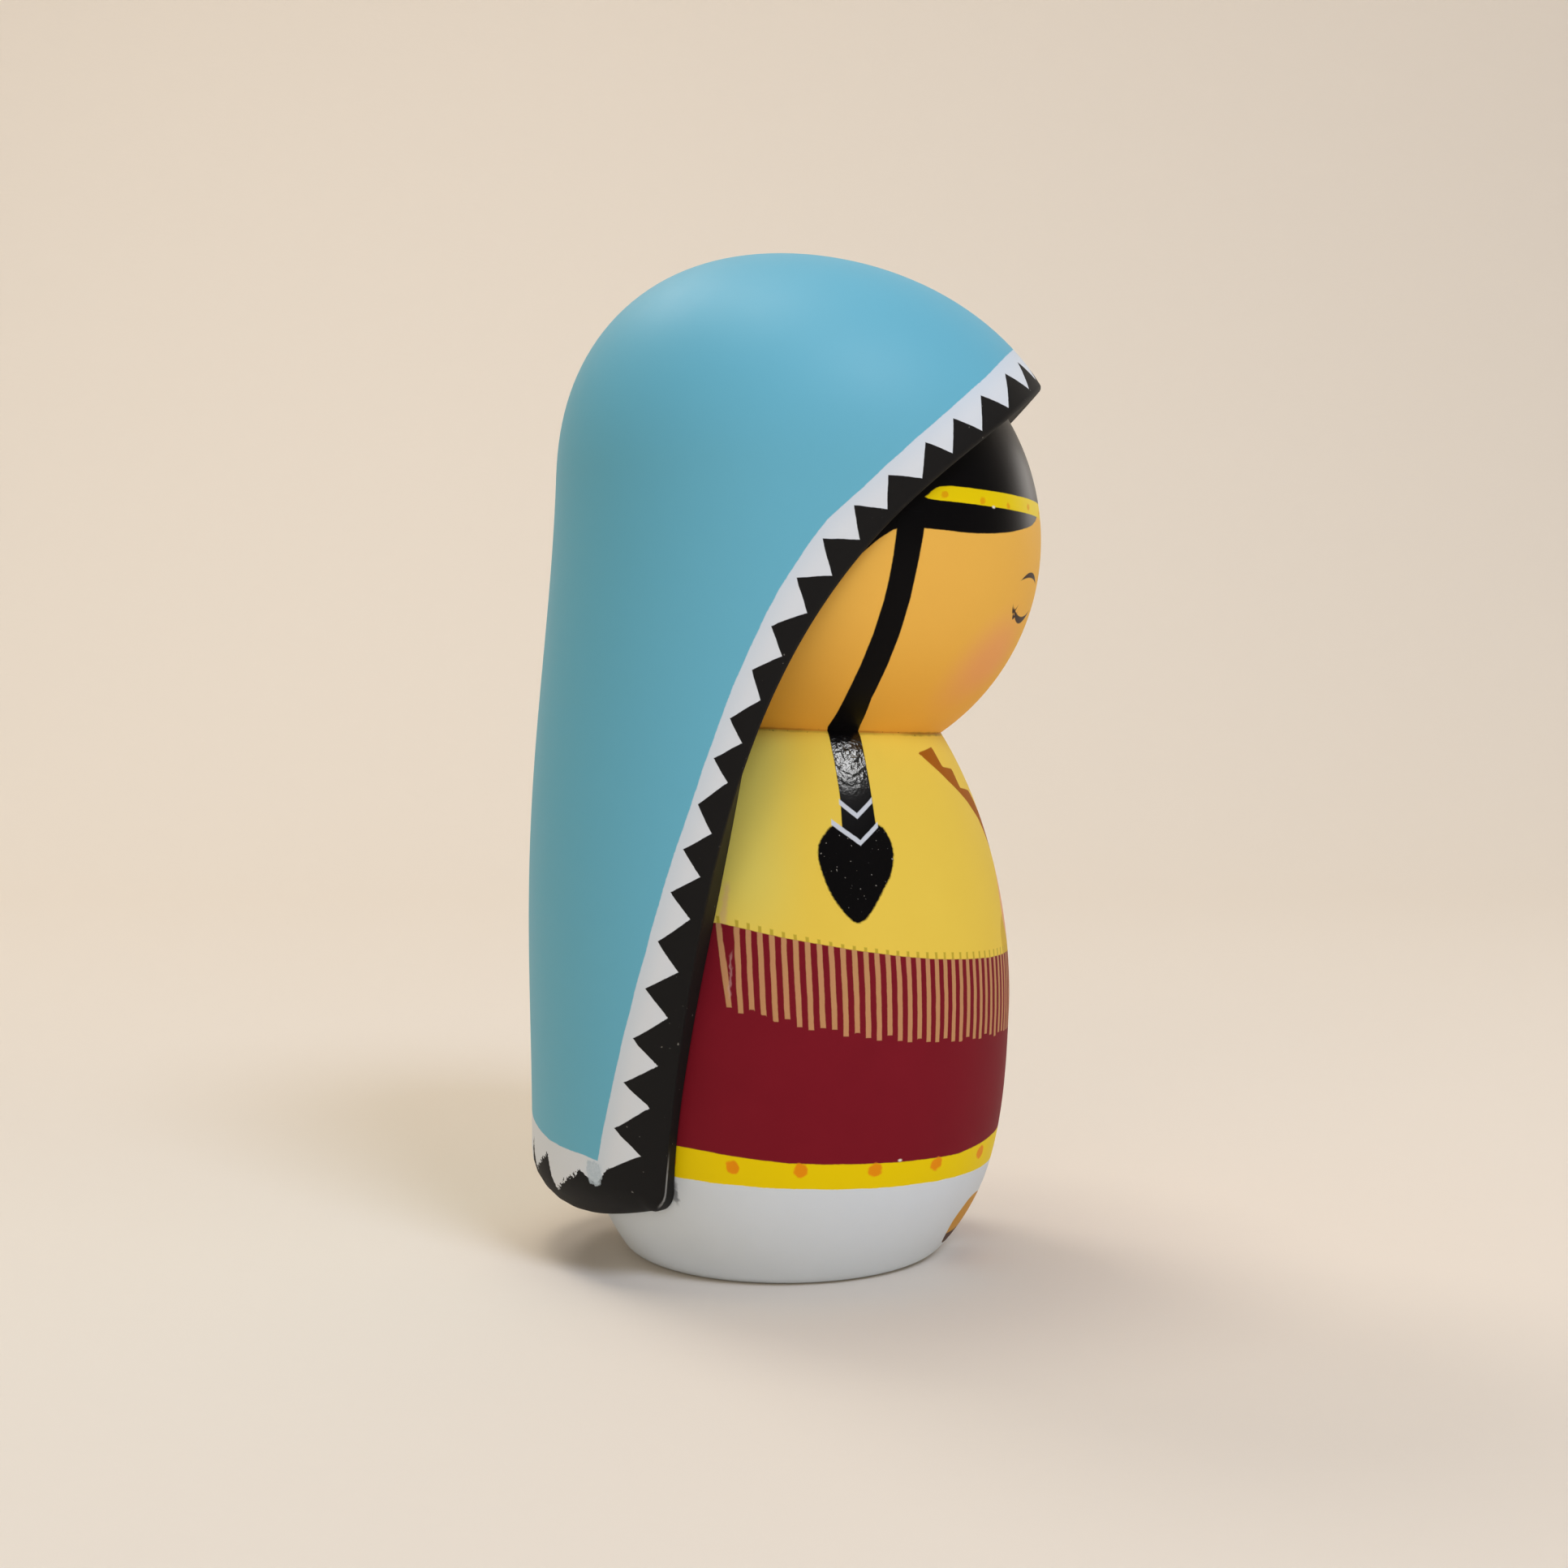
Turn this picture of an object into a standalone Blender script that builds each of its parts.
"""Saint doll: a leaning skittle-shaped figure and the hooded mantle fixed over its back.

Sizes are millimetres until a point is placed, then metres. The doll faces -Y and stands on Z = 0 with the
middle of its underside at the origin. Both pieces are shaped in a leaning frame, where "up" runs along the
doll's tilted axis, "ahead" points to its front and "out" to its side.
"""
import math

import bmesh
import bpy
from mathutils import Vector

MM = 0.001

# Figure, measured along and around its leaning axis
LEAN = 2.32               # degrees that the axis tips to the front
BASE_RADIUS = 19.8        # flat underside
BASE_EDGE = 1.2           # rounding where the underside meets the side
BODY_RADIUS = 27.9        # widest part of the dress
BODY_WIDEST = 32.5        # height of that widest part
SETTLED = 1 / 3           # how much of that height is eased from the leaning axis on to the level floor
NECK_HEIGHT = 67.5
NECK_RADIUS = 17.6        # bottom of the crease between head and body
HEAD_RADIUS = 29.3
HEAD_HEIGHT = 91.0        # middle of the head
HEAD_RISE = 30.0          # from that middle to the crown

# Mantle, over the head
GAP = 0.4                 # clear space between the two mouldings
NECK_GAP = 0.4            # and more of it where the mantle bridges the crease of the neck
HOOD_TOP = 6.1            # thickness over the crown
HOOD_SIDE = 3.2           # thickness beside the head
HOOD_BACK = 3.7           # thickness behind the head
HOOD_BROW = 3.5           # thickness before the brow, were the hood to reach down there
HOOD_SHIFT = 3.8          # the hood's middle lies this far behind the head's
DOME_DROP = 29.2          # from the hood's top down to where its wall begins

# Mantle, down the back
BACK_BULGE = 1.7          # fullness halfway down
HEM_HEIGHT = 4.8          # lowest, at the back
CORNER_RISE = 3.9         # the lower front corners are this much higher
HEM_WIDTH = 23.0          # half the mantle's width at the hem
HEM_SHIFT = 9.3           # the hem's middle lies this far behind the axis
HEM_ROUND = 7.5           # rounding under the hem at the back
EDGE_ROUND = 0.7          # rounding along the front edge
ROUND_SHARE = 0.85        # the most of the thickness that a rounding takes
CORNER_ROUND = 3.0        # lower front corners, seen from the side

# Front edge of the mantle seen from the side, as a curve with handles (ahead, up) from brow to waist
BRIM_HEIGHT = 111.6       # tip of the brim
EDGE_HANDLES = ((14.9, 95.2), (-3.4, 89.9), (-12.1, 59.9))
EDGE_BEHIND = 14.6        # the lower front corner lies this far behind the axis
NECK_AIM = 8.0            # at the neck the edge's wall runs in to this far behind the axis

# Fullness of the curves: 2 is an ellipse, more is boxier
CHEST_TAPER = 1.85
DOME_FRONT = 2.0
DOME_SIDE = 2.1
DOME_BACK = 2.24
WALL_TAPER = 1.7
TAPER_SHARE = 0.94        # how much of the tapering curve the wall uses down to its hem

# Mesh fineness
AROUND = 56               # columns around the figure
BASE_STEPS = 3            # and its rows in the base's rounding,
BODY_STEPS = 9            # in the body below its widest part and again above it,
CHIN_STEPS = 6            # in the head below its middle,
HEAD_STEPS = 11           # and above it
HALF_RIM = 40             # mantle columns from the brim's tip to the middle of the hem
MANTLE_ROWS = 14          # mantle rows from its middle out to the rim
RIM_STEPS = 3             # and in the rim's rounding
EDGE_STEPS = 160          # points that follow the front edge before the columns are spread along it,
CORNER_STEPS = 8          # its lower corner
HEM_STEPS = 40            # and half the hem
SHARP = 35                # degrees between two faces that are shown with an edge


def taper(share, power):
    """What is left of a rounded shape's half width at a share of the way to its end."""
    return max(0.0, 1 - abs(share) ** power) ** (1 / power)


def eased(share):
    """The same share, but setting off and stopping gently."""
    return share * share * (3 - 2 * share)


# Worked out from the sizes above
HEAD_FALL = (HEAD_HEIGHT - NECK_HEIGHT) / taper(NECK_RADIUS / HEAD_RADIUS, 2)
UPPER_RISE = (NECK_HEIGHT - BODY_WIDEST) / taper(NECK_RADIUS / BODY_RADIUS, CHEST_TAPER)
LOWER_FALL = BODY_WIDEST / (1 - (BASE_RADIUS / BODY_RADIUS) ** 2) ** (1 / 3)
CROWN = HEAD_HEIGHT + HEAD_RISE
DOME_LEVEL = CROWN + HOOD_TOP - DOME_DROP
WALL_DROP = DOME_LEVEL - HEM_HEIGHT
CORNER_HEIGHT = HEM_HEIGHT + CORNER_RISE
MAP_UNIT = 48.0           # length of wall that takes one unit of the flat map
MAP_MIDDLE = -1.45        # where the mantle's rows start, on the flat map's centre line


def clear_scene():
    for item in list(bpy.data.objects):
        bpy.data.objects.remove(item, do_unlink=True)


def paint(name, colour, roughness):
    material = bpy.data.materials.new(name)
    material.use_nodes = True
    shader = material.node_tree.nodes["Principled BSDF"]
    shader.inputs["Base Color"].default_value = (*colour, 1)
    shader.inputs["Roughness"].default_value = roughness
    shader.inputs["Metallic"].default_value = 0
    return material


def finished(name, builder, material):
    """Make a named, smooth-shaded object of the built faces."""
    bmesh.ops.recalc_face_normals(builder, faces=builder.faces)
    mesh = bpy.data.meshes.new(name)
    builder.to_mesh(mesh)
    builder.free()
    mesh.shade_smooth()
    mesh.set_sharp_from_angle(angle=math.radians(SHARP))
    mesh.materials.append(material)
    item = bpy.data.objects.new(name, mesh)
    bpy.context.collection.objects.link(item)
    return item


def add_ring(builder, places):
    return [builder.verts.new(upright(place)) for place in places]


def join_rings(builder, rings):
    for near, far in zip(rings, rings[1:]):
        for step in range(len(near)):
            after = (step + 1) % len(near)
            builder.faces.new((near[step], near[after], far[after], far[step]))


def close_ring(builder, ring, place):
    """Close a ring with a fan of triangles to one point."""
    middle = builder.verts.new(upright(place))
    for step in range(len(ring)):
        builder.faces.new((ring[step], ring[(step + 1) % len(ring)], middle))


def upright(place):
    """A point (out, ahead, up) of the leaning frame, in the upright world in metres."""
    out, ahead, up = place
    lean = math.radians(LEAN)
    forward = ahead * math.cos(lean) + up * math.sin(lean)
    height = up * math.cos(lean) - ahead * math.sin(lean)
    return out * MM, -forward * MM, height * MM


def spaced(start, end, count):
    return [start + (end - start) * step / count for step in range(count + 1)]


def along_curve(handles, share):
    """A point on the smooth curve that the handles pull."""
    while len(handles) > 1:
        handles = [near.lerp(far, share) for near, far in zip(handles, handles[1:])]
    return handles[0]


def rounded(start, corner, end, share):
    """A point on the quarter circle that eases a square corner."""
    weights = ((1 - share) ** 2, math.sqrt(2) * share * (1 - share), share ** 2)
    return (start * weights[0] + corner * weights[1] + end * weights[2]) / sum(weights)


def figure_radius(up):
    if up > HEAD_HEIGHT:
        return HEAD_RADIUS * taper((up - HEAD_HEIGHT) / HEAD_RISE, 2)
    if up > NECK_HEIGHT:
        return HEAD_RADIUS * taper((HEAD_HEIGHT - up) / HEAD_FALL, 2)
    if up > BODY_WIDEST:
        return BODY_RADIUS * taper((up - BODY_WIDEST) / UPPER_RISE, CHEST_TAPER)
    return BODY_RADIUS * math.sqrt(max(0.0, 1 - ((BODY_WIDEST - up) / LOWER_FALL) ** 3))


def figure_profile():
    """(radius, up) from the edge of the underside to just below the crown."""
    inner = Vector((figure_radius(0) - BASE_EDGE, 0))
    corner = Vector((figure_radius(0), 0))
    outer = Vector((figure_radius(BASE_EDGE), BASE_EDGE))
    points = [tuple(rounded(inner, corner, outer, share)) for share in spaced(0, 1, BASE_STEPS)[:-1]]
    levels = spaced(BASE_EDGE, BODY_WIDEST, BODY_STEPS)
    levels += spaced(BODY_WIDEST, NECK_HEIGHT, BODY_STEPS)[1:]
    points += [(figure_radius(up), up) for up in levels]
    chin = math.asin((HEAD_HEIGHT - NECK_HEIGHT) / HEAD_FALL)
    for angle in spaced(-chin, 0, CHIN_STEPS)[1:] + spaced(0, math.pi / 2, HEAD_STEPS)[1:-1]:
        reach = HEAD_FALL if angle < 0 else HEAD_RISE
        points.append((HEAD_RADIUS * math.cos(angle), HEAD_HEIGHT + reach * math.sin(angle)))
    return points


def settling(ahead, up):
    """How far the lowest part of the leaning figure is eased up or down on to the level floor."""
    return max(0.0, 1 - up / (SETTLED * BODY_WIDEST)) * ahead * math.tan(math.radians(LEAN))


def make_figure():
    builder = bmesh.new()
    angles = spaced(0, 2 * math.pi, AROUND)[:-1]
    rings = []
    for radius, up in figure_profile():
        places = []
        for angle in angles:
            ahead = radius * math.cos(angle)
            places.append((radius * math.sin(angle), ahead, up + settling(ahead, up)))
        rings.append(add_ring(builder, places))
    join_rings(builder, rings)
    builder.faces.new(rings[0])
    close_ring(builder, rings[-1], (0, 0, CROWN))
    return finished("figure", builder, paint("figure_paint", (0.78, 0.55, 0.16), 0.4))


def hood_section(up):
    """The outer face at a height: half width, middle, and reach to the front and back of that middle."""
    down = min(1.0, max(0.0, (DOME_LEVEL - up) / WALL_DROP))
    least = taper(TAPER_SHARE, WALL_TAPER)
    left = (taper(TAPER_SHARE * down, WALL_TAPER) - least) / (1 - least)
    half_width = HEM_WIDTH + (HEAD_RADIUS + HOOD_SIDE - HEM_WIDTH) * left
    middle = -HOOD_SHIFT - (HEM_SHIFT - HOOD_SHIFT) * eased(down)
    front = HEAD_RADIUS + HOOD_BROW - middle
    back = HEAD_RADIUS + HOOD_BACK + BACK_BULGE * math.sin(math.pi * down) ** 2 + middle
    return half_width, middle, front, back


def outer_face(spot):
    """The place of a flat-map spot on the mantle's outer face.

    The flat map spreads that face out around its top: the first unit from its origin covers the dome, and
    the wall follows beyond it, the front to +x, the sides to +y and -y.
    """
    far, angle = spot.length, math.atan2(spot.y, spot.x)
    if far > 1:
        up, side, along = DOME_LEVEL - (far - 1) * MAP_UNIT, 1.0, 1.0
    else:
        rise, spread = math.cos(far * math.pi / 2), math.sin(far * math.pi / 2)
        size = (rise ** DOME_SIDE + spread ** DOME_SIDE) ** (1 / DOME_SIDE)
        side = spread / size
        along = taper(rise / size, DOME_FRONT if spot.x > 0 else DOME_BACK)
        up = DOME_LEVEL + DOME_DROP * rise / size
    half_width, middle, front, back = hood_section(up)
    reach = front if spot.x > 0 else back
    return Vector((half_width * side * math.sin(angle), middle + reach * along * math.cos(angle), up))


def map_spot(ahead, up):
    """The flat-map spot, on the +y side, of an outer-face point seen from the side."""
    middle, front, back = hood_section(up)[1:]
    rise = max(0.0, (up - DOME_LEVEL) / DOME_DROP)
    fore = ahead > middle
    along = taper(rise, DOME_FRONT if fore else DOME_BACK)
    turn = (ahead - middle) / ((front if fore else back) * along)
    angle = math.acos(min(1.0, max(-1.0, turn)))
    if rise > 0:
        far = math.atan2(taper(rise, DOME_SIDE), rise) / (math.pi / 2)
    else:
        far = 1 + (DOME_LEVEL - up) / MAP_UNIT
    return Vector((far * math.cos(angle), far * math.sin(angle)))


def inner_face(place):
    """Carry a point of the outer face in to the figure, stopping short by the gap.

    Over the head it goes towards the head's middle, and below towards the axis. At the neck it goes towards
    a line behind the axis, so that the mantle's front edge there faces straight ahead.
    """
    out, ahead, up = place
    if up >= HEAD_HEIGHT:
        across, along = HEAD_RADIUS + GAP, HEAD_RISE + GAP
        rise = up - HEAD_HEIGHT
        size = math.sqrt((out ** 2 + ahead ** 2) / across ** 2 + (rise / along) ** 2)
        return Vector((out / size, ahead / size, HEAD_HEIGHT + rise / size))
    span = HEAD_HEIGHT - NECK_HEIGHT if up > NECK_HEIGHT else NECK_HEIGHT - BODY_WIDEST
    near_neck = max(0.0, 1 - ((up - NECK_HEIGHT) / span) ** 2) ** 2
    level = up - settling(ahead, up)
    slope = figure_radius(level + 0.5) - figure_radius(level - 0.5)
    radius = figure_radius(level) + (GAP + NECK_GAP * near_neck) * math.hypot(1, slope)
    aim = -NECK_AIM * near_neck
    run = out ** 2 + (ahead - aim) ** 2
    half = aim * (ahead - aim) / run
    share = math.sqrt(half ** 2 + (radius ** 2 - aim ** 2) / run) - half
    return Vector((out * share, aim + (ahead - aim) * share, up))


def front_edge():
    """Flat-map spots down one side of the rim, from the tip of the brim to the middle of the hem."""
    middle, front = hood_section(BRIM_HEIGHT)[1:3]
    tip_ahead = middle + front * taper((BRIM_HEIGHT - DOME_LEVEL) / DOME_DROP, DOME_FRONT)
    handles = [Vector((tip_ahead, BRIM_HEIGHT)), *(Vector(handle) for handle in EDGE_HANDLES)]
    handles.append(Vector((-EDGE_BEHIND, CORNER_HEIGHT + CORNER_ROUND)))
    outline = [along_curve(handles, step ** 2) for step in spaced(0, 1, EDGE_STEPS)]
    corner = Vector((-EDGE_BEHIND, CORNER_HEIGHT))
    behind = corner - Vector((CORNER_ROUND, 0))
    outline += [rounded(handles[-1], corner, behind, share) for share in spaced(0, 1, CORNER_STEPS)[1:]]
    spots = [map_spot(*point) for point in outline]
    corner_angle = math.atan2(spots[-1].y, spots[-1].x)
    for share in spaced(0, 1, HEM_STEPS)[1:]:
        angle = corner_angle + (math.pi - corner_angle) * share
        up = HEM_HEIGHT + CORNER_RISE * (1 - share * (2 - share))
        far = 1 + (DOME_LEVEL - up) / MAP_UNIT
        spots.append(Vector((math.cos(angle), math.sin(angle))) * far)
    return spots


def evenly(spots, count):
    """Spots at even steps of real length along the rim."""
    places = [outer_face(spot) for spot in spots]
    travelled = [0.0]
    for near, far in zip(places, places[1:]):
        travelled.append(travelled[-1] + (far - near).length)
    chosen, index = [spots[0]], 0
    for goal in spaced(0, travelled[-1], count)[1:-1]:
        while travelled[index + 1] < goal:
            index += 1
        share = (goal - travelled[index]) / (travelled[index + 1] - travelled[index])
        chosen.append(spots[index].lerp(spots[index + 1], share))
    return chosen + [spots[-1]]


def rounding(place, depth):
    """How far the rim is rounded at a place: little in front, much under the hem at the back."""
    behind = (-EDGE_BEHIND - place.y) / HEM_ROUND
    low = place.z < CORNER_HEIGHT + CORNER_ROUND
    share = min(1.0, max(0.0, behind)) if low else 0.0
    return min(EDGE_ROUND + (HEM_ROUND - EDGE_ROUND) * eased(share), ROUND_SHARE * depth)


def rim_column(spot):
    """Places across the mantle at one rim spot: outer rows, rounded rim, then inner rows."""
    middle = Vector((MAP_MIDDLE, 0))
    corner = outer_face(spot)
    inner_corner = inner_face(corner)
    depth = (corner - inner_corner).length
    size = rounding(corner, depth)
    nudge = 0.01
    pace = (outer_face(spot.lerp(middle, nudge)) - corner).length / nudge
    turning = spot.lerp(middle, size / pace)
    rows = spaced(0, 1, MANTLE_ROWS)[1:]
    outer = [outer_face(middle.lerp(turning, share)) for share in rows]
    end = corner.lerp(inner_corner, size / depth)
    rim = [rounded(outer[-1], corner, end, share) for share in spaced(0, 1, RIM_STEPS)[1:]]
    inner = [inner_face(outer_face(middle.lerp(spot, share))) for share in reversed(rows)]
    return outer + rim + inner


def make_mantle():
    builder = bmesh.new()
    half = evenly(front_edge(), HALF_RIM)
    spots = half + [Vector((spot.x, -spot.y)) for spot in reversed(half[1:-1])]
    columns = [rim_column(spot) for spot in spots]
    rings = [add_ring(builder, places) for places in zip(*columns)]
    join_rings(builder, rings)
    centre = outer_face(Vector((MAP_MIDDLE, 0)))
    close_ring(builder, rings[0], centre)
    close_ring(builder, rings[-1], inner_face(centre))
    return finished("mantle", builder, paint("mantle_paint", (0.13, 0.43, 0.58), 0.6))


def main():
    clear_scene()
    make_figure()
    make_mantle()


main()
